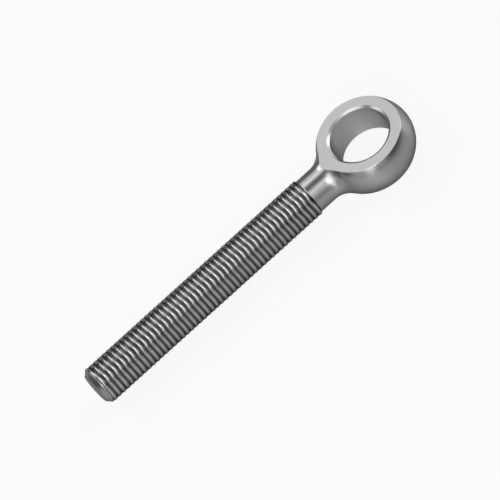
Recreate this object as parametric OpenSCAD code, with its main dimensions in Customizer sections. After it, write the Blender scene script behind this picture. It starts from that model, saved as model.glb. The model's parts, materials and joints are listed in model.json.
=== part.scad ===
// Eye bolt with a barrel-shaped head, lying flat.
// Origin at the centre of the eye's bore. +Z runs along the bore, and the shank points to -X.
// Every diameter is round about one of those two axes. Sizes are millimetres.

/* [Eye] */
// largest diameter of the barrel-shaped head, across its waist
eye_d = 45.3; // [38:0.1:60]
// thickness of the head, across its two flat faces
eye_t = 17.9; // [15:0.1:24]
// radius of the barrel's side, in a section through the bore's axis
barrel_r = 15.6; // [11:0.1:21]
// bore through the head
bore_d = 28.0; // [20:0.1:32]
// bore's edge break, measured across the flat face
bore_break_w = 1.05; // [0.3:0.05:1.5]
// bore's edge break, measured down the bore
bore_break_h = 0.7; // [0.2:0.05:1.5]

/* [Flare] */
// fillet that runs all round from the neck into the head
flare_r = 10.0; // [6:0.1:14]
// roundness across the flare's top and bottom, where it runs out into the flat faces
flare_crown_r = 12.0; // [10:0.1:16]

/* [Neck] */
// plain shank between the flare and the thread
neck_d = 17.4; // [14:0.1:18.4]
// length of that plain shank
neck_l = 7.1; // [2:0.1:40]

/* [Thread] */
// outside diameter of the thread (3/4 inch)
thread_d = 19.05; // [16:0.05:22]
// length of the thread, measured to the end of the bolt (5 inches)
thread_l = 127.0; // [60:0.5:160]
// 45 degree edge break at the thread's inner end
thread_break = 0.7; // [0.2:0.05:0.8]

/* [Point] */
// 45 degree chamfer at the bolt's end
point_c = 2.4; // [1:0.1:4]

/* [Hidden] */
$fn = 96;

steel = [0.56, 0.56, 0.55];
steel_dark = [0.42, 0.42, 0.42];

eye_r = eye_d / 2;
half_t = eye_t / 2;
bore_r = bore_d / 2;
neck_r = neck_d / 2;
thread_r = thread_d / 2;
// the barrel's arc is struck from this distance off the bore's axis
arc_c = eye_r - barrel_r;
// cutters reach this far past what they cut
past = 1.0;

// The flare is the part of a wedge that three waisted cutters leave.
// The side cutters carry the barrel's own arc, so they leave the head tangent to it.
// They stand off the neck a little, so that there the round cutter alone shapes the flare.
side_gap = 0.1;
side_y = neck_r + side_gap + flare_r;
side_x = sqrt(pow(eye_r + flare_r, 2) - side_y * side_y);
// The round cutter turns about the shank, and starts this far before the side cutters.
round_lead = 0.3;
round_y = neck_r + flare_r;
round_x = sqrt(pow(eye_r + flare_r, 2) - round_y * round_y) + round_lead;
// The top and bottom cutters lie across the neck, tangent to the barrel and to the neck.
top_x = arc_c + sqrt(pow(barrel_r + flare_r, 2) - round_y * round_y);

// Places along the shank, from the head to the end of the bolt
eye_end = -round_x;
thread_start = eye_end - neck_l;
bolt_end = thread_start - thread_l;
point_start = bolt_end + point_c;

// Section of a waisted cutter: radius waist at its middle, growing by an arc of radius arc_r.
module waist_section(waist, arc_r, half_w) {
    difference() {
        translate([0, -half_w]) square([waist + arc_r, 2 * half_w]);
        translate([waist + arc_r, 0]) circle(r = arc_r);
    }
}

module barrel() {
    rotate_extrude() intersection() {
        translate([0, -half_t]) square([eye_r + past, eye_t]);
        union() {
            translate([arc_c, 0]) circle(r = barrel_r);
            translate([0, -half_t]) square([arc_c, eye_t]);
        }
    }
}

// The wedge between the two side cutters, the neck's end and the bore's axis
module flare_wedge() {
    translate([0, 0, -half_t]) linear_extrude(height = eye_t) polygon([
        [0, 0], [side_x, side_y], [round_x, side_y],
        [round_x, -side_y], [side_x, -side_y]
    ]);
}

// All that lies inside the flare's turned shape, about the shank's axis
module flare_round() {
    rotate([0, 90, 0]) rotate_extrude() difference() {
        square([eye_r, round_x]);
        translate([round_y, round_x]) circle(r = flare_r);
    }
}

module flare() {
    difference() {
        intersection() {
            flare_wedge();
            flare_round();
        }
        for (side = [-1, 1]) translate([side_x, side * side_y, 0])
            rotate_extrude() waist_section(flare_r, barrel_r, half_t + past);
        for (side = [-1, 1]) translate([top_x, 0, side * round_y]) rotate([90, 0, 0])
            rotate_extrude() waist_section(flare_r, flare_crown_r, neck_r);
    }
}

module bore_cut() {
    cylinder(h = eye_t + 2 * past, r = bore_r, center = true);
    for (side = [0, 180]) rotate([side, 0, 0]) translate([0, 0, half_t - bore_break_h])
        cylinder(
            h = bore_break_h + past,
            r1 = bore_r,
            r2 = bore_r + bore_break_w * (1 + past / bore_break_h)
        );
}

module eye() {
    color(steel) difference() {
        union() {
            barrel();
            rotate([0, 0, 180]) flare();
        }
        bore_cut();
    }
}

module neck() {
    color(steel) translate([thread_start, 0, 0]) rotate([0, 90, 0])
        cylinder(h = neck_l, r = neck_r);
}

module threaded_shank() {
    full_l = thread_l - point_c - thread_break;
    color(steel_dark) translate([point_start, 0, 0]) rotate([0, 90, 0]) {
        cylinder(h = full_l, r = thread_r);
        translate([0, 0, full_l])
            cylinder(h = thread_break, r1 = thread_r, r2 = thread_r - thread_break);
    }
}

module point() {
    color(steel) translate([bolt_end, 0, 0]) rotate([0, 90, 0])
        cylinder(h = point_c, r1 = thread_r - point_c, r2 = thread_r);
}

eye();
neck();
threaded_shank();
point();
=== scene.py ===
"""Eye bolt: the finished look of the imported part, laid out as an add-on and run as a script."""

import json
import math

import bmesh
import bpy
from mathutils import Matrix, Vector


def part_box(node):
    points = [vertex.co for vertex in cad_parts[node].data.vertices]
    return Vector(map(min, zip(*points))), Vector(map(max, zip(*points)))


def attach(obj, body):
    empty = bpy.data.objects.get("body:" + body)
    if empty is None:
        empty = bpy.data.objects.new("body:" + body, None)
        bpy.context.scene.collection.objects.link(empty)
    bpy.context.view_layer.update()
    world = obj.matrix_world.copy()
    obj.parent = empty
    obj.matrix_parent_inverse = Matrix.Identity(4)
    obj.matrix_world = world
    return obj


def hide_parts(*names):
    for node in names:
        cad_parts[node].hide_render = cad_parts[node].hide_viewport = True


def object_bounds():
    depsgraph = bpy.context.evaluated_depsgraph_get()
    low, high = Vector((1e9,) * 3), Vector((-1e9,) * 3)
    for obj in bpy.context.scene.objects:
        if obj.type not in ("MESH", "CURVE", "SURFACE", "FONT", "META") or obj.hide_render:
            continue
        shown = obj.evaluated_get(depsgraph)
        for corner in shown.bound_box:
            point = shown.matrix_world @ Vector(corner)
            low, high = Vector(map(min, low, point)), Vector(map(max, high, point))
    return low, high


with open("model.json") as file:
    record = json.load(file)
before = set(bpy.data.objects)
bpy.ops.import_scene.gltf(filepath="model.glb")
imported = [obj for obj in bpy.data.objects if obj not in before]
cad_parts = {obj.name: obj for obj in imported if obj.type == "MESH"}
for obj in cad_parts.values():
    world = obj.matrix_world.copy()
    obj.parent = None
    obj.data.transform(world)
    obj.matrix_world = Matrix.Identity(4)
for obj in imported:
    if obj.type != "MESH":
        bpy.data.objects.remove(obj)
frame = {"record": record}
CAD_BOX = [list(corner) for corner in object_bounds()]

bl_info = {
    "name": "Eye Bolt",
    "version": (1, 0, 0),
    "blender": (4, 5, 0),
    "location": "3D View > Sidebar > Eye Bolt",
    "description": "Builds a forged eye bolt with a rolled thread, its steel finishes and a studio",
    "category": "Object",
}

# ---------------------------------------------------------------------------------------------
# Sizes that come from the frame, in metres
# ---------------------------------------------------------------------------------------------


def extent(node, axis):
    """Lowest and highest place of a node along an axis."""
    low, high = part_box(node)
    return low[axis], high[axis]


def mount(name):
    """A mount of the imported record."""
    return next(m for m in frame["record"]["mounts"] if m["name"] == name)


HEAD_TOP = extent("eye", 2)[1]
HEAD_RADIUS = extent("eye", 1)[1]
NECK_RADIUS = extent("neck", 1)[1]
THREAD_RADIUS = extent("threaded_shank", 2)[1]
NECK_START, NECK_END = extent("neck", 0)
SHANK_START, SHANK_END = extent("threaded_shank", 0)
BOLT_END = extent("point", 0)[0]
POINT_CUT = SHANK_START - BOLT_END
BORE_RADIUS = mount("eye_bore")["dims"]["r_mm"] / 1000
BORE_LENGTH = mount("eye_bore")["dims"]["length_mm"] / 1000


# ---------------------------------------------------------------------------------------------
# What a user would change
# ---------------------------------------------------------------------------------------------


def length(name, description, default):
    """A length property, in metres."""
    return bpy.props.FloatProperty(
        name=name,
        description=description,
        default=default,
        min=0.0,
        precision=5,
        unit="LENGTH",
        subtype="DISTANCE",
    )


def colour(name, description, default):
    """A colour property."""
    return bpy.props.FloatVectorProperty(
        name=name,
        description=description,
        default=default,
        min=0.0,
        max=1.0,
        size=3,
        subtype="COLOR",
    )


def amount(name, description, default, high=1.0):
    """A plain number from nothing to high."""
    return bpy.props.FloatProperty(
        name=name, description=description, default=default, min=0.0, max=high, precision=3
    )


class EyeBoltSizes(bpy.types.PropertyGroup):
    """Sizes that the frame doesn't give"""

    barrel_arc: length("Barrel arc", "Radius of the head's side, in a section through the bore", 0.0156)
    flare_radius: length("Flare radius", "Ball that rolls between the neck and the head", 0.010)
    bore_break: length("Bore edge break", "Width of the bore's edge break across the flat face", 0.00105)
    edge_break: length("Edge break", "Width of the dulled edge round the flat faces", 0.00012)
    pitch: length("Thread pitch", "Distance from one thread crest to the next", 0.00254)
    thread_depth: length("Thread depth", "Height of a crest over the root beside it", 0.0003)
    run_out: length("Run-out", "Length over which the thread fades out at its inner end", 0.0006)
    inner_break: length("Inner edge break", "Edge break at the thread's inner end", 0.0007)


class EyeBoltFinish(bpy.types.PropertyGroup):
    """Colours and polish of the bare steel"""

    face_colour: colour("Flat face", "Steel of the head's two ground faces", (0.388, 0.385, 0.376))
    head_colour: colour("Head", "Steel of the head's turned side and flare", (0.413, 0.410, 0.401))
    # painted light: the bore's steel is lighter than the head's, to brighten the wall of the shaded bore
    bore_painted_colour: colour("Bore", "Steel of the bore's wall", (0.650, 0.647, 0.635))
    neck_colour: colour("Neck", "Steel of the turned neck", (0.413, 0.410, 0.401))
    # painted highlight: the crest colour is lighter than the head's steel, to paint bright glints on the
    # thread's crests
    crest_highlight_colour: colour("Thread crest", "Steel rubbed bright on the crests", (0.500, 0.497, 0.486))
    # painted shade: the root colour is near black, to paint shade into the thread's roots
    root_shade_colour: colour("Thread root", "Steel left dull in the roots", (0.050, 0.050, 0.049))
    point_colour: colour("Point", "Steel of the point's cut and end", (0.388, 0.385, 0.376))
    polish: amount("Roughness", "Roughness of the turned and polished steel", 0.30)
    thread_polish: amount("Thread roughness", "Roughness of the rolled thread", 0.19)
    thread_relief: length("Thread relief", "Depth that the shading adds to the thread", 0.00042)
    mark_depth: amount("Tool marks", "Strength of the fine tool marks", 0.08)


class EyeBoltStudio(bpy.types.PropertyGroup):
    """Floor and lamps"""

    floor_colour: colour("Floor", "Paint of the studio floor", (0.56, 0.56, 0.56))
    floor_gloss: amount("Floor roughness", "Roughness of the studio floor", 0.35)
    floor_white: amount("Floor white", "Share of plain white in the floor as the camera sees it", 0.90)
    floor_shine: amount("Floor shine", "Share of plain white in the floor as the steel sees it", 0.08)
    lamp_power: amount("Lamp power", "Multiplies the lamps", 1.0, 10.0)
    horizon: amount("Room light, low", "Strength of the room's even light at the horizon", 0.04, 10.0)
    zenith: amount("Room light, high", "Strength of the room's even light overhead", 0.08, 10.0)


# ---------------------------------------------------------------------------------------------
# Shader writing
# ---------------------------------------------------------------------------------------------


class Value:
    """A shader socket that can stand in a sum: each operator adds its Math node."""

    def __init__(self, finish, socket):
        self.finish = finish
        self.socket = socket

    def math(self, operation, *values):
        return self.finish.node(
            "ShaderNodeMath", {"operation": operation}, dict(enumerate(values))
        ).value()

    def __add__(self, other):
        return self.math("ADD", self, other)

    def __radd__(self, other):
        return self.math("ADD", other, self)

    def __sub__(self, other):
        return self.math("SUBTRACT", self, other)

    def __rsub__(self, other):
        return self.math("SUBTRACT", other, self)

    def __mul__(self, other):
        return self.math("MULTIPLY", self, other)

    def __rmul__(self, other):
        return self.math("MULTIPLY", other, self)

    def __truediv__(self, other):
        return self.math("DIVIDE", self, other)

    def __rtruediv__(self, other):
        return self.math("DIVIDE", other, self)


class NodeOut:
    """A node that was added, with its outputs as values."""

    def __init__(self, finish, node):
        self.finish = finish
        self.node = node

    def value(self, name=0):
        return Value(self.finish, self.node.outputs[name])


class Graph:
    """A node tree written from code."""

    def __init__(self, tree):
        self.tree = tree
        tree.nodes.clear()

    def node(self, kind, settings=None, inputs=None):
        """Adds a node: its settings first, then the values or links of its sockets."""
        node = self.tree.nodes.new(kind)
        for key, setting in (settings or {}).items():
            setattr(node, key, setting)
        for key, given in (inputs or {}).items():
            self.feed(node.inputs[key], given)
        return NodeOut(self, node)

    def feed(self, socket, given):
        """Sets a socket to a number or colour, or links a value to it."""
        if isinstance(given, Value):
            given = given.socket
        if isinstance(given, bpy.types.NodeSocket):
            self.tree.links.new(given, socket)
        elif isinstance(given, (tuple, list)) and socket.type == "RGBA":
            socket.default_value = (*given[:3], 1.0)
        else:
            socket.default_value = given

    def clamp(self, value, low, high, to_low=0.0, to_high=1.0):
        """Maps a range to another and keeps it inside."""
        return self.node(
            "ShaderNodeMapRange",
            {"clamp": True},
            {0: value, 1: low, 2: high, 3: to_low, 4: to_high},
        ).value()


class Finish(Graph):
    """A procedural material with one Principled surface."""

    def __init__(self, name):
        old = bpy.data.materials.get(name)
        if old:
            bpy.data.materials.remove(old)
        self.material = bpy.data.materials.new(name)
        self.material.use_nodes = True
        super().__init__(self.material.node_tree)
        self.surface = self.node("ShaderNodeBsdfPrincipled").node
        self.out = self.node(
            "ShaderNodeOutputMaterial", None, {"Surface": self.surface.outputs[0]}
        ).node

    def place(self):
        """The point's own place in the bolt's frame, in metres, as three values."""
        where = self.node("ShaderNodeTexCoord").value("Object")
        parts = self.node("ShaderNodeSeparateXYZ", None, {0: where})
        return where, parts.value("X"), parts.value("Y"), parts.value("Z")

    def vector(self, x, y, z):
        return self.node("ShaderNodeCombineXYZ", None, {"X": x, "Y": y, "Z": z}).value()

    def noise(self, where, scale, detail, roughness=0.5):
        """Even noise from nothing to one."""
        return self.node(
            "ShaderNodeTexNoise",
            {"noise_dimensions": "3D"},
            {"Vector": where, "Scale": scale, "Detail": detail, "Roughness": roughness},
        ).value("Fac")

    def tint(self, factor, dark, bright):
        """A colour between dark and bright."""
        mix = self.node(
            "ShaderNodeMix",
            {"data_type": "RGBA", "blend_type": "MIX"},
            {0: factor, 6: (*dark, 1.0), 7: (*bright, 1.0)},
        )
        return mix.value(2)

    def steel(self, base, roughness, height, depth):
        """Finishes the surface as bare steel."""
        self.feed(self.surface.inputs["Metallic"], 1.0)
        self.feed(self.surface.inputs["Specular Tint"], GRAZING_TINT)
        self.feed(self.surface.inputs["Base Color"], base)
        self.feed(self.surface.inputs["Roughness"], roughness)
        bump = self.node(
            "ShaderNodeBump", None, {"Strength": 1.0, "Distance": depth, "Height": height}
        )
        self.feed(self.surface.inputs["Normal"], bump.value("Normal"))
        return self.material


GRAZING_TINT = (0.35, 0.35, 0.35)  # dulls the steel where it is seen edge-on
# how fine the patterns in the steel are, in waves for each metre
TURNED_CLOUDS = 120.0
GROUND_CLOUDS = 90.0
ROLLED_CLOUDS = 150.0
ROLLED_GRAIN = 2500.0
HEAD_RINGS = 5000.0
NECK_RINGS = 6000.0
POINT_RINGS = 8000.0
BORE_RINGS = 9000.0
MARK_SCALE = 0.0001  # metres of tool mark at full strength
POLISHED_MARKS = 0.4  # share of the tool marks that polishing leaves


def shade(colour_value, factor):
    """A plain colour made lighter or darker."""
    return tuple(min(1.0, part * factor) for part in colour_value)


def turned_steel(name, base, roughness, axis, scale, depth):
    """Steel cut on a lathe: fine rings about an axis, and a soft cloudiness."""
    finish = Finish(name)
    where, x, y, z = finish.place()
    along = {"X": x, "Y": y, "Z": z}[axis]
    rings = finish.noise(finish.vector(along * scale, 0.0, 0.0), 1.0, 4.0, 0.6)
    broad = finish.noise(where, TURNED_CLOUDS, 2.0)
    tone = rings * 0.35 + broad * 0.65
    base_value = finish.tint(tone, shade(base, 0.94), shade(base, 1.06))
    rough = finish.clamp(rings * 0.5 + broad * 0.5, 0.25, 0.75, roughness - 0.02, roughness + 0.02)
    return finish.steel(base_value, rough, rings, depth)


def ground_steel(name, base, roughness, depth):
    """A flat face cut with a wide mill: fine arcs about the bore."""
    finish = Finish(name)
    where, x, y, z = finish.place()
    away = finish.node(
        "ShaderNodeVectorMath", {"operation": "LENGTH"}, {0: finish.vector(x, y, 0.0)}
    ).value("Value")
    rings = finish.noise(finish.vector(away * BORE_RINGS, 0.0, 0.0), 1.0, 3.0, 0.6)
    broad = finish.noise(where, GROUND_CLOUDS, 2.0)
    tone = rings * 0.3 + broad * 0.7
    base_value = finish.tint(tone, shade(base, 0.97), shade(base, 1.03))
    rough = finish.clamp(tone, 0.3, 0.7, roughness - 0.015, roughness + 0.015)
    return finish.steel(base_value, rough, rings, depth)


def rolled_steel(name, crest, root, roughness, sizes, relief):
    """A rolled thread, with a painted highlight on its crests and painted shade in its roots."""
    finish = Finish(name)
    where, x, y, z = finish.place()
    # the same helix as the mesh: nothing on a crest and a half in the root
    phase = (x - SHANK_START) / sizes.pitch - z.math("ARCTAN2", z, y) / (2 * math.pi)
    down = phase.math("PINGPONG", phase, 0.5)
    high = 1.0 - down * 2.0
    rounded = high * high * (3.0 - high * 2.0)
    broad = finish.noise(where, ROLLED_CLOUDS, 3.0)
    fine = finish.noise(where, ROLLED_GRAIN, 2.0)
    # painted light: this share runs from the roots' painted shade to the crests' painted highlight, and
    # also sets the roughness
    lit = finish.clamp(high + broad * 0.1, 0.15, 0.85)
    base_value = finish.tint(lit, root, crest)
    rough = finish.clamp(lit, 0.0, 1.0, roughness + 0.08, roughness)
    return finish.steel(base_value, rough, rounded + fine * 0.002, relief)


# ---------------------------------------------------------------------------------------------
# Mesh making
# ---------------------------------------------------------------------------------------------


SHARP = 28.0  # degrees: faces that meet at more than this show an edge
SAME_PLACE = 1e-8  # metres: points closer than this are one point


class Shell:
    """Collects points and faces, and welds points that fall together."""

    def __init__(self):
        self.points = []
        self.faces = []
        self.kinds = []
        self.known = {}

    def point(self, where):
        key = tuple(round(part / SAME_PLACE) for part in where)
        if key not in self.known:
            self.known[key] = len(self.points)
            self.points.append(tuple(where))
        return self.known[key]

    def face(self, corners, kind):
        """A face, without corners that fall together."""
        ring = []
        for corner in corners:
            if not ring or corner != ring[-1]:
                ring.append(corner)
        if len(ring) > 1 and ring[0] == ring[-1]:
            ring.pop()
        if len(set(ring)) > 2:
            self.faces.append(ring)
            self.kinds.append(kind)

    def grid(self, rows, kind=0, closed=False):
        """Faces between rows of points, each row as long as the others."""
        marks = [[self.point(p) for p in row] for row in rows]
        for one, two in zip(marks, marks[1:]):
            count = len(one)
            for i in range(count if closed else count - 1):
                k = (i + 1) % count
                self.face([one[i], one[k], two[k], two[i]], kind)

    def cap(self, ring, middle, kind=0):
        """A fan from a ring of points to a point in its middle."""
        marks = [self.point(p) for p in ring]
        centre = self.point(middle)
        for i, mark in enumerate(marks):
            self.face([mark, marks[(i + 1) % len(marks)], centre], kind)

    def mesh(self, name, sharp_degrees=SHARP):
        """A mesh with smooth faces and sharp edges where faces meet steeply."""
        mesh = bpy.data.meshes.new(name)
        mesh.from_pydata(self.points, [], self.faces)
        mesh.polygons.foreach_set("material_index", self.kinds)
        work = bmesh.new()
        work.from_mesh(mesh)
        bmesh.ops.recalc_face_normals(work, faces=work.faces)
        work.to_mesh(mesh)
        work.free()
        finish_mesh(mesh, sharp_degrees)
        return mesh


def finish_mesh(mesh, sharp_degrees):
    """Smooth shading that breaks at steep edges."""
    mesh.polygons.foreach_set("use_smooth", [True] * len(mesh.polygons))
    mesh.set_sharp_from_angle(angle=math.radians(sharp_degrees))
    mesh.validate()
    mesh.update()


def add_piece(name, mesh, materials, node):
    """Puts a piece in the scene in place of its CAD node."""
    old = bpy.data.objects.get(name)
    if old:
        bpy.data.objects.remove(old, do_unlink=True)
    piece = bpy.data.objects.new(name, mesh)
    bpy.context.scene.collection.objects.link(piece)
    for material in materials:
        mesh.materials.append(material)
    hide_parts(node)
    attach(piece, "root")
    return piece


def round_ring(x, radius, angles):
    """A ring about the shank's axis."""
    return [(x, radius * math.cos(a), radius * math.sin(a)) for a in angles]


# ---------------------------------------------------------------------------------------------
# The head and its flare
# ---------------------------------------------------------------------------------------------

LOW_STEPS = 12  # flare columns from the waist to where the flare leaves the barrel's flat edge
HIGH_STEPS = 10  # flare columns from there to the neck's top
FLARE_ROWS = 18
BARREL_COLUMNS = 60
HALVINGS = 60  # of the ball's track, to find where it meets the flat face
HEAD_SHARP = 11.5  # degrees: the steepest bend inside a smooth surface of the head
EDGE_LEAST = 1e-6  # metres left of the dulled edge at the flat face's tip
EDGE_SLOPE = 1.2  # how far the dulled edge reaches in for each unit that it drops
FACE, SIDE, WALL, BREAK = range(4)  # the head's materials, in order


class HeadForm:
    """Places on the barrel and on the fillet that a ball leaves as it rolls round the neck."""

    def __init__(self, sizes):
        self.arc = sizes.barrel_arc
        self.ball = sizes.flare_radius
        self.axis_off = HEAD_RADIUS - self.arc
        # the ball's angle about the shank at which its foot on the barrel reaches the flat face
        reach = (self.arc + self.ball) / self.arc
        self.corner = math.asin(HEAD_TOP * reach / (NECK_RADIUS + self.ball))

    def quarter(self):
        """Angles about the shank, from the waist up to the neck's top."""
        low = [self.corner * i / LOW_STEPS for i in range(LOW_STEPS + 1)]
        rest = math.pi / 2 - self.corner
        return low + [self.corner + rest * i / HIGH_STEPS for i in range(1, HIGH_STEPS + 1)]

    def ball_place(self, turn):
        """The ball's centre at an angle about the shank. The flare is worked out towards +X."""
        y = (NECK_RADIUS + self.ball) * math.cos(turn)
        z = (NECK_RADIUS + self.ball) * math.sin(turn)
        away = self.axis_off + math.sqrt((self.arc + self.ball) ** 2 - z * z)
        return Vector((math.sqrt(away * away - y * y), y, z)), away

    def feet(self, turn):
        """Where the ball touches the neck and the barrel."""
        centre, away = self.ball_place(turn)
        neck = Vector((centre.x, NECK_RADIUS * math.cos(turn), NECK_RADIUS * math.sin(turn)))
        ring = Vector((centre.x, centre.y, 0.0)) * (self.axis_off / away)
        barrel = ring + (centre - ring).normalized() * self.arc
        return centre, neck, barrel

    def barrel_row(self, start):
        """The barrel's line at a point's height, from that point round to the far side."""
        begin = math.atan2(start.y, start.x)
        away = self.axis_off + math.sqrt(self.arc**2 - start.z**2)
        row = [start]
        for k in range(1, BARREL_COLUMNS + 1):
            angle = begin + (math.pi - begin) * k / BARREL_COLUMNS
            row.append(Vector((away * math.cos(angle), away * math.sin(angle), start.z)))
        return row

    def arc_points(self, turn, edge):
        """The ball's track from neck to barrel, or to the flat face's edge."""
        centre, neck, barrel = self.feet(turn)
        first = (neck - centre) / self.ball
        last = (barrel - centre) / self.ball
        sweep = first.angle(last)
        stop = 1.0
        top = HEAD_TOP - edge
        if barrel.z > top:
            low, high = 0.0, 1.0
            for _ in range(HALVINGS):
                stop = (low + high) / 2
                z = self.on_arc(centre, first, last, sweep, stop).z
                low, high = (stop, high) if z < top else (low, stop)
        return [
            self.on_arc(centre, first, last, sweep, stop * row / FLARE_ROWS)
            for row in range(FLARE_ROWS + 1)
        ]

    def on_arc(self, centre, first, last, sweep, share):
        a = math.sin((1 - share) * sweep) / math.sin(sweep)
        b = math.sin(share * sweep) / math.sin(sweep)
        return centre + (first * a + last * b) * self.ball


def spoke(p, radius, z):
    """The place at a radius and height that lies in the same direction from the bore's axis."""
    flat = Vector((p.x, p.y, 0.0))
    return flat * (radius / flat.length) + Vector((0.0, 0.0, z))


def face_rings(form, tracks, sizes):
    """Lines from the flat face's rim in to the bore's middle, with as many points in each."""
    rim = [track[-1] for track in tracks[:LOW_STEPS:-1]]
    rim += form.barrel_row(tracks[LOW_STEPS][-1])
    mouth = BORE_RADIUS + sizes.bore_break
    face_edge = []
    for p in rim:
        step = (HEAD_TOP - p.z) * EDGE_SLOPE
        face_edge.append(spoke(p, math.hypot(p.x, p.y) - step, HEAD_TOP))
    rings = [rim, face_edge]
    for share in (0.5, 1.0):
        rings.append([p.lerp(spoke(p, mouth, HEAD_TOP), share) for p in face_edge])
    for height in (BORE_LENGTH / 2, BORE_LENGTH / 4, 0.0):
        rings.append([spoke(p, BORE_RADIUS, height) for p in face_edge])
    return rings


def head_mesh(sizes):
    """The head: barrel, flare, flat faces, broken edges and bore, closed at the neck."""
    form = HeadForm(sizes)
    shell = Shell()
    turns = form.quarter()
    # the dulled edge narrows to nothing at the flat face's tip, where the flare meets it gently
    tracks = []
    for i, turn in enumerate(turns):
        share = max(0.0, (i - LOW_STEPS) / HIGH_STEPS)
        tracks.append(form.arc_points(turn, sizes.edge_break * (1 - share) ** 2 + EDGE_LEAST))
    feet = [
        (-NECK_END, NECK_RADIUS * math.cos(turn), NECK_RADIUS * math.sin(turn)) for turn in turns
    ]
    flare = [[foot, *track] for foot, track in zip(feet, tracks)]
    barrel = [form.barrel_row(track[-1]) for track in tracks[: LOW_STEPS + 1]]
    rings = face_rings(form, tracks, sizes)
    kinds = [SIDE, FACE, FACE, BREAK, WALL, WALL]
    # a quarter of the head is worked out, and mirrored to the others
    for side in (-1, 1):
        for up in (-1, 1):

            def placed(rows):
                return [[(-p[0], p[1] * side, p[2] * up) for p in row] for row in rows]

            shell.grid(placed(flare), SIDE)
            shell.grid(placed(barrel), SIDE)
            for one, two, kind in zip(rings, rings[1:], kinds):
                shell.grid(placed([one, two]), kind)
    shell.cap(round_ring(NECK_END, NECK_RADIUS, neck_angles(sizes)), (NECK_END, 0.0, 0.0), SIDE)
    return shell.mesh("eye_mesh", HEAD_SHARP)


NECK_ROWS = 6


def neck_angles(sizes):
    """The flare's columns carried on round the neck, so that their shading runs on."""
    quarter = HeadForm(sizes).quarter()
    angles = []
    for base, sign in ((0.0, 1), (math.pi, -1), (math.pi, 1), (2 * math.pi, -1)):
        part = quarter[:-1] if sign > 0 else quarter[:0:-1]
        angles += [base + sign * t for t in part]
    return angles


def neck_mesh(sizes):
    """The plain length between flare and thread."""
    angles = neck_angles(sizes)
    shell = Shell()
    rows = [
        round_ring(NECK_START + (NECK_END - NECK_START) * i / NECK_ROWS, NECK_RADIUS, angles)
        for i in range(NECK_ROWS + 1)
    ]
    shell.grid(rows, closed=True)
    shell.cap(rows[0], (NECK_START, 0.0, 0.0))
    shell.cap(rows[-1], (NECK_END, 0.0, 0.0))
    return shell.mesh("neck_mesh")


# ---------------------------------------------------------------------------------------------
# The thread and the point
# ---------------------------------------------------------------------------------------------

TURN_COLUMNS = 96
THREAD_SHARP = 40.0  # degrees: steeper than any bend between two columns of the thread
WELD = 2e-7  # metres: cut points closer than this become one
NEAR = 1e-6  # metres: how close to a cut a point counts as on it
ROUND_SHARE = 0.07  # of the pitch, rounded to each side of a crest and of a root


def groove(phase):
    """How deep the thread is at a share of its pitch: 0 on the crest and 1 in the root."""
    u = abs((phase % 1.0) - 0.5) * 2  # 0 in the root and 1 on the crest
    r = ROUND_SHARE * 2
    if u < r:
        height = u * u / (2 * r)
    elif u > 1 - r:
        height = 1 - r - (1 - u) ** 2 / (2 * r)
    else:
        height = u - r / 2
    return 1.0 - height / (1 - r)


HALF_WAVE = [0.0, 0.035, 0.07, 0.15, 0.25, 0.35, 0.43, 0.465, 0.5]
PHASES = HALF_WAVE + [1 - share for share in HALF_WAVE[-2:0:-1]]


def thread_radius(x, angle, sizes):
    """Radius of the threaded surface, with its fade at the inner end."""
    phase = (x - SHANK_START) / sizes.pitch - angle / (2 * math.pi)
    full = SHANK_END - sizes.inner_break
    fade = min(1.0, max(0.0, (full - x) / sizes.run_out))
    fade = fade * fade * (3 - 2 * fade)
    return THREAD_RADIUS - sizes.thread_depth * groove(phase) * fade


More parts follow.
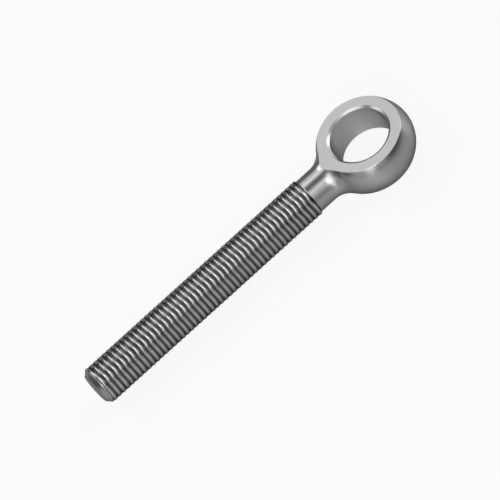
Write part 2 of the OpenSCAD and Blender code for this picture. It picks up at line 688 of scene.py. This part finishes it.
def thread_mesh(sizes):
    """A right-hand helical thread, cut square at both ends, with an edge break at the inner one."""
    full = SHANK_END - sizes.inner_break
    turns = math.ceil((full - SHANK_START) / sizes.pitch) + 3
    count = turns * TURN_COLUMNS
    rows = len(PHASES)
    points = []
    for i in range(count + TURN_COLUMNS + 1):
        angle = 2 * math.pi * i / TURN_COLUMNS
        for phase in PHASES:
            x = SHANK_START + sizes.pitch * (i / TURN_COLUMNS + phase - 2.0)
            radius = thread_radius(x, angle, sizes)
            points.append((x, radius * math.cos(angle), radius * math.sin(angle)))
    faces = []
    for i in range(count):
        for j in range(rows):
            if j + 1 < rows:
                a, b = i * rows + j, i * rows + j + 1
                c, d = (i + 1) * rows + j + 1, (i + 1) * rows + j
            else:
                a, b = i * rows + j, (i + TURN_COLUMNS) * rows
                c, d = (i + 1 + TURN_COLUMNS) * rows, (i + 1) * rows + j
            faces.append((a, d, c, b))
    mesh = bpy.data.meshes.new("threaded_shank_mesh")
    mesh.from_pydata(points, [], faces)
    work = bmesh.new()
    work.from_mesh(mesh)
    for place, toward in ((SHANK_START, -1), (full, 1)):
        bmesh.ops.bisect_plane(
            work,
            geom=work.verts[:] + work.edges[:] + work.faces[:],
            dist=SAME_PLACE,
            plane_co=(place, 0, 0),
            plane_no=(toward, 0, 0),
            clear_outer=True,
        )
    loose = [v for v in work.verts if not v.link_faces]
    bmesh.ops.delete(work, geom=loose, context="VERTS")
    bmesh.ops.remove_doubles(work, verts=work.verts[:], dist=WELD)
    inner = [e for e in work.edges if e.is_boundary and e.verts[0].co.x > full - NEAR]
    made = bmesh.ops.extrude_edge_only(work, edges=inner)
    ring = [g for g in made["geom"] if isinstance(g, bmesh.types.BMVert)]
    for vert in ring:
        radius = math.hypot(vert.co.y, vert.co.z)
        share = (radius - sizes.inner_break) / radius
        vert.co = Vector((SHANK_END, vert.co.y * share, vert.co.z * share))
    for place in (SHANK_START, SHANK_END):
        rim = [e for e in work.edges if e.is_boundary and abs(e.verts[0].co.x - place) < NEAR]
        made = bmesh.ops.extrude_edge_only(work, edges=rim)
        verts = [g for g in made["geom"] if isinstance(g, bmesh.types.BMVert)]
        bmesh.ops.pointmerge(work, verts=verts, merge_co=(place, 0.0, 0.0))
    bmesh.ops.recalc_face_normals(work, faces=work.faces)
    work.to_mesh(mesh)
    work.free()
    finish_mesh(mesh, THREAD_SHARP)
    return mesh


POINT_COLUMNS = 144
CUT, END = range(2)  # the point's materials, in order
# rings along the point's cut, closer together where the groove still shows
POINT_STEPS = [0.0, 0.06, 0.12, 0.18, 0.24, 0.3, 0.36, 0.42, 0.5, 0.6, 0.72, 0.84, 0.93, 0.97, 1.0]


def point_mesh(sizes):
    """The chamfered point, into which the last groove runs out."""
    angles = [2 * math.pi * i / POINT_COLUMNS for i in range(POINT_COLUMNS)]
    dull = sizes.edge_break
    rows = []
    for step in POINT_STEPS:
        x = SHANK_START - POINT_CUT * step
        cone = THREAD_RADIUS - POINT_CUT * step
        if step == 1.0:
            cone -= dull
        row = []
        for angle in angles:
            radius = min(cone, thread_radius(x, angle, sizes))
            row.append((x, radius * math.cos(angle), radius * math.sin(angle)))
        rows.append(row)
    shell = Shell()
    shell.grid(rows, CUT, closed=True)
    end = THREAD_RADIUS - POINT_CUT - dull
    face = [rows[-1], round_ring(BOLT_END, end * 0.5, angles)]
    shell.grid(face, END, closed=True)
    shell.cap(face[-1], (BOLT_END, 0.0, 0.0), END)
    shell.cap(rows[0], (SHANK_START, 0.0, 0.0), CUT)
    return shell.mesh("point_mesh")


# ---------------------------------------------------------------------------------------------
# Operators: one for each piece, and one for the studio
# ---------------------------------------------------------------------------------------------


class EYEBOLT_OT_eye(bpy.types.Operator):
    """Build the barrel-shaped head with its flare, flat faces and bore"""

    bl_idname = "eyebolt.eye"
    bl_label = "Head"

    def execute(self, context):
        sizes, finish = context.scene.eyebolt_sizes, context.scene.eyebolt_finish
        head, bore, polish = finish.head_colour, finish.bore_painted_colour, finish.polish
        marks = finish.mark_depth * MARK_SCALE
        fine = marks * POLISHED_MARKS
        materials = [
            ground_steel("ground_face", finish.face_colour, polish, fine),
            turned_steel("polished_head", head, polish, "Z", HEAD_RINGS, fine),
            # the bore's wall takes the lighter bore colour, as painted light in the shaded bore
            turned_steel("bored_wall", bore, polish, "Z", BORE_RINGS, marks),
            turned_steel("broken_edge", head, polish, "Z", BORE_RINGS, fine),
        ]
        add_piece("eye_head", head_mesh(sizes), materials, "eye")
        return {"FINISHED"}


class EYEBOLT_OT_neck(bpy.types.Operator):
    """Build the plain neck between the flare and the thread"""

    bl_idname = "eyebolt.neck"
    bl_label = "Neck"

    def execute(self, context):
        sizes, finish = context.scene.eyebolt_sizes, context.scene.eyebolt_finish
        fine = finish.mark_depth * MARK_SCALE * POLISHED_MARKS
        material = turned_steel(
            "turned_neck", finish.neck_colour, finish.polish, "X", NECK_RINGS, fine
        )
        add_piece("neck_length", neck_mesh(sizes), [material], "neck")
        return {"FINISHED"}


class EYEBOLT_OT_thread(bpy.types.Operator):
    """Build the shank with its right-hand helical thread"""

    bl_idname = "eyebolt.thread"
    bl_label = "Threaded shank"

    def execute(self, context):
        sizes, finish = context.scene.eyebolt_sizes, context.scene.eyebolt_finish
        # the crest and root colours paint a highlight on the crests and shade in the roots
        material = rolled_steel(
            "rolled_thread",
            finish.crest_highlight_colour,
            finish.root_shade_colour,
            finish.thread_polish,
            sizes,
            finish.thread_relief,
        )
        add_piece("thread", thread_mesh(sizes), [material], "threaded_shank")
        return {"FINISHED"}


class EYEBOLT_OT_point(bpy.types.Operator):
    """Build the chamfered point and its end face"""

    bl_idname = "eyebolt.point"
    bl_label = "Point"

    def execute(self, context):
        sizes, finish = context.scene.eyebolt_sizes, context.scene.eyebolt_finish
        fine = finish.mark_depth * MARK_SCALE * POLISHED_MARKS
        materials = [
            turned_steel(name, finish.point_colour, finish.polish, "X", POINT_RINGS, fine)
            for name in ("cut_point", "end_face")
        ]
        add_piece("point_end", point_mesh(sizes), materials, "point")
        return {"FINISHED"}


# Lamps of the studio: name, direction as azimuth and elevation in degrees, width in degrees, strength
LAMPS = [
    ("lamp_01", -150.0, 14.0, 24.0, 0.66),
    ("lamp_02", -120.0, 14.0, 24.0, 1.96),
    ("lamp_03", -90.0, 14.0, 24.0, 0.47),
    ("lamp_04", 0.0, 14.0, 24.0, 2.36),
    ("lamp_05", 30.0, 14.0, 24.0, 1.57),
    ("lamp_06", -135.0, 36.0, 24.0, 1.76),
    ("lamp_07", -110.0, 36.0, 24.0, 1.06),
    ("lamp_08", -85.0, 36.0, 24.0, 0.83),
    ("lamp_09", 5.0, 36.0, 24.0, 4.40),
    ("lamp_10", 80.0, 36.0, 24.0, 0.61),
    ("lamp_11", 105.0, 36.0, 24.0, 1.85),
    ("lamp_12", 128.0, 38.0, 24.0, 2.88),
    ("lamp_13", 155.0, 36.0, 24.0, 2.33),
    ("lamp_14", -112.0, 40.0, 17.0, 6.40),
    ("lamp_15", 97.0, 40.0, 13.0, 5.60),
    ("lamp_16", -150.0, 58.0, 24.0, 2.24),
    ("lamp_17", -110.0, 58.0, 24.0, 2.63),
    ("lamp_18", -70.0, 58.0, 24.0, 1.31),
    ("lamp_19", -20.0, 58.0, 24.0, 0.87),
    ("lamp_20", 60.0, 58.0, 24.0, 1.95),
    ("lamp_21", 100.0, 58.0, 24.0, 1.72),
]
LAMP_DISTANCE = 2.5
FLOOR_REACH = 6.0  # from the middle to each side
FLOOR_STEPS = 12
FLOOR_SPECULAR = 0.8


class EYEBOLT_OT_studio(bpy.types.Operator):
    """Build the floor, the soft lamps, the room's light and the camera"""

    bl_idname = "eyebolt.studio"
    bl_label = "Studio"

    def execute(self, context):
        studio = context.scene.eyebolt_studio
        self.build_floor(studio)
        self.build_room(context, studio)
        for name, azimuth, elevation, width, strength in LAMPS:
            self.build_lamp(context, name, azimuth, elevation, width, strength * studio.lamp_power)
        self.build_camera(context)
        return {"FINISHED"}

    def build_floor(self, studio):
        lowest = CAD_BOX[0][2]
        shell = Shell()
        places = [FLOOR_REACH * (2 * i / FLOOR_STEPS - 1) for i in range(FLOOR_STEPS + 1)]
        shell.grid([[(x, y, lowest) for x in places] for y in places])
        mesh = shell.mesh("floor_mesh")
        floor = bpy.data.objects.new("floor", mesh)
        bpy.context.scene.collection.objects.link(floor)
        paint = Finish("floor_paint")
        paint.feed(paint.surface.inputs["Base Color"], tuple(studio.floor_colour))
        paint.feed(paint.surface.inputs["Roughness"], studio.floor_gloss)
        paint.feed(paint.surface.inputs["Specular IOR Level"], FLOOR_SPECULAR)
        glow = paint.node("ShaderNodeEmission", None, {"Color": (1, 1, 1), "Strength": 1.0})
        path = paint.node("ShaderNodeLightPath")
        white = path.value("Is Camera Ray") * studio.floor_white + (
            path.value("Is Glossy Ray") + path.value("Is Transmission Ray")
        ) * studio.floor_shine
        mix = paint.node(
            "ShaderNodeMixShader",
            None,
            {0: white, 1: paint.surface.outputs[0], 2: glow.value("Emission")},
        )
        paint.feed(paint.out.inputs["Surface"], mix.value())
        mesh.materials.append(paint.material)

    def build_room(self, context, studio):
        world = bpy.data.worlds.new("studio_room")
        context.scene.world = world
        world.use_nodes = True
        room = Graph(world.node_tree)
        where = room.node("ShaderNodeTexCoord").value("Generated")
        height = room.node("ShaderNodeSeparateXYZ", None, {0: where}).value("Z")
        level = room.clamp(height, 0.0, 1.0, studio.horizon, studio.zenith)
        seen = room.node("ShaderNodeLightPath").value("Is Camera Ray")
        strength = level + (1.0 - level) * seen
        shine = room.node("ShaderNodeBackground", None, {"Color": (1, 1, 1), "Strength": strength})
        room.node("ShaderNodeOutputWorld", None, {"Surface": shine.value()})

    def build_lamp(self, context, name, azimuth, elevation, width, strength):
        data = bpy.data.lights.new(name, "AREA")
        data.shape = "DISK"
        data.size = 2 * LAMP_DISTANCE * math.tan(math.radians(width / 2))
        # a disc lamp's radiance is its power over pi times its area
        area = math.pi * (data.size / 2) ** 2
        data.energy = strength * math.pi * area
        lamp = bpy.data.objects.new(name, data)
        a, e = math.radians(azimuth), math.radians(elevation)
        away = Vector((math.cos(a) * math.cos(e), math.sin(a) * math.cos(e), math.sin(e)))
        centre = Vector(((CAD_BOX[0][0] + CAD_BOX[1][0]) / 2, 0.0, 0.0))
        lamp.location = centre + away * LAMP_DISTANCE
        lamp.rotation_mode = "QUATERNION"
        lamp.rotation_quaternion = away.to_track_quat("Z", "Y")
        context.scene.collection.objects.link(lamp)

    def build_camera(self, context):
        data = bpy.data.cameras.new("camera")
        data.type = "ORTHO"
        data.ortho_scale = VIEW_WIDTH
        camera = bpy.data.objects.new("camera", data)
        context.scene.collection.objects.link(camera)
        right, up, back = (Vector(axis).normalized() for axis in VIEW_AXES)
        place = back * VIEW_DISTANCE - right * VIEW_SHIFT[0] - up * VIEW_SHIFT[1]
        turn = Matrix((right, up, back)).transposed()
        camera.matrix_world = Matrix.Translation(place) @ turn.to_4x4()
        data.clip_start, data.clip_end = VIEW_NEAR, VIEW_FAR
        context.scene.camera = camera
        context.scene.view_settings.view_transform = "Standard"


# The camera's right, up and back, in the bolt's frame
VIEW_AXES = ((0.7380, -0.5670, -0.3657), (0.6668, 0.5299, 0.5240), (-0.1033, -0.6305, 0.7692))
VIEW_WIDTH = 0.21997
VIEW_DISTANCE = 1.0
VIEW_NEAR, VIEW_FAR = 0.01, 20.0
# where the bore's centre lies in the view, right of and above its middle
VIEW_SHIFT = (0.050985, 0.046246)


class EYEBOLT_PT_panel(bpy.types.Panel):
    """Lists the bolt's pieces, sizes and finishes"""

    bl_idname = "EYEBOLT_PT_panel"
    bl_label = "Eye Bolt"
    bl_space_type = "VIEW_3D"
    bl_region_type = "UI"
    bl_category = "Eye Bolt"

    def draw(self, context):
        for operator in BUILDERS:
            self.layout.operator(operator.bl_idname)
        for group in ("eyebolt_sizes", "eyebolt_finish", "eyebolt_studio"):
            box = self.layout.box()
            values = getattr(context.scene, group)
            for name in values.__annotations__:
                box.prop(values, name)


BUILDERS = (
    EYEBOLT_OT_eye,
    EYEBOLT_OT_neck,
    EYEBOLT_OT_thread,
    EYEBOLT_OT_point,
    EYEBOLT_OT_studio,
)
GROUPS = (
    ("eyebolt_sizes", EyeBoltSizes),
    ("eyebolt_finish", EyeBoltFinish),
    ("eyebolt_studio", EyeBoltStudio),
)


def register():
    for name, group in GROUPS:
        bpy.utils.register_class(group)
        setattr(bpy.types.Scene, name, bpy.props.PointerProperty(type=group))
    for operator in BUILDERS:
        bpy.utils.register_class(operator)
    bpy.utils.register_class(EYEBOLT_PT_panel)


def unregister():
    bpy.utils.unregister_class(EYEBOLT_PT_panel)
    for operator in reversed(BUILDERS):
        bpy.utils.unregister_class(operator)
    for name, group in reversed(GROUPS):
        delattr(bpy.types.Scene, name)
        bpy.utils.unregister_class(group)


def main():
    """Builds every piece and the studio."""
    register()
    bpy.ops.eyebolt.eye()
    bpy.ops.eyebolt.neck()
    bpy.ops.eyebolt.thread()
    bpy.ops.eyebolt.point()
    bpy.ops.eyebolt.studio()


if __name__ == "__main__":
    main()
